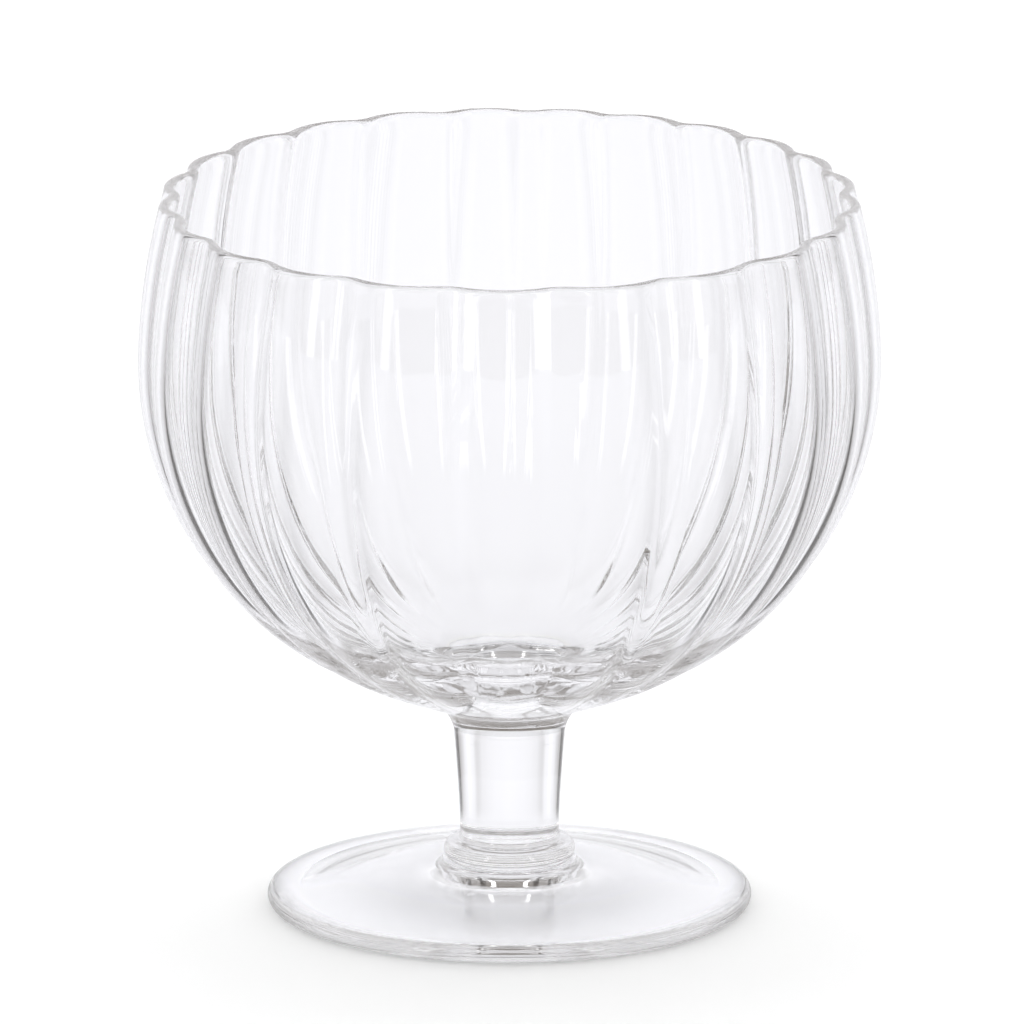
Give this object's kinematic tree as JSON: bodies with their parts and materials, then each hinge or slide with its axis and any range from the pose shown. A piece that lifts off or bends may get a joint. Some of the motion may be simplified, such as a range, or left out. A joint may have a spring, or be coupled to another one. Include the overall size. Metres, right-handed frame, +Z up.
{
  "type": "parfait glass",
  "caption": "Low footed parfait glass of clear glass: wide round ribbed bowl, short solid stem, beaded collar and a flat round foot.",
  "frame": {"origin": "on the glass's axis, at the surface that the foot stands on", "axes": "+Z up along the axis, from the foot to the mouth; -Y is the side that the picture shows as the front; +X to the right seen from there"},
  "size_m": [0.1098, 0.1098, 0.1075],
  "materials": {
    "ribbed_glass": "clear, fire-polished, blown in a ribbed mould",
    "solid_glass": "clear, smooth, solid"
  },
  "bodies": {
    "root": {"bowl": "ribbed_glass", "stem": "solid_glass", "collar": "solid_glass", "foot": "solid_glass"}
  },
  "joints": []
}
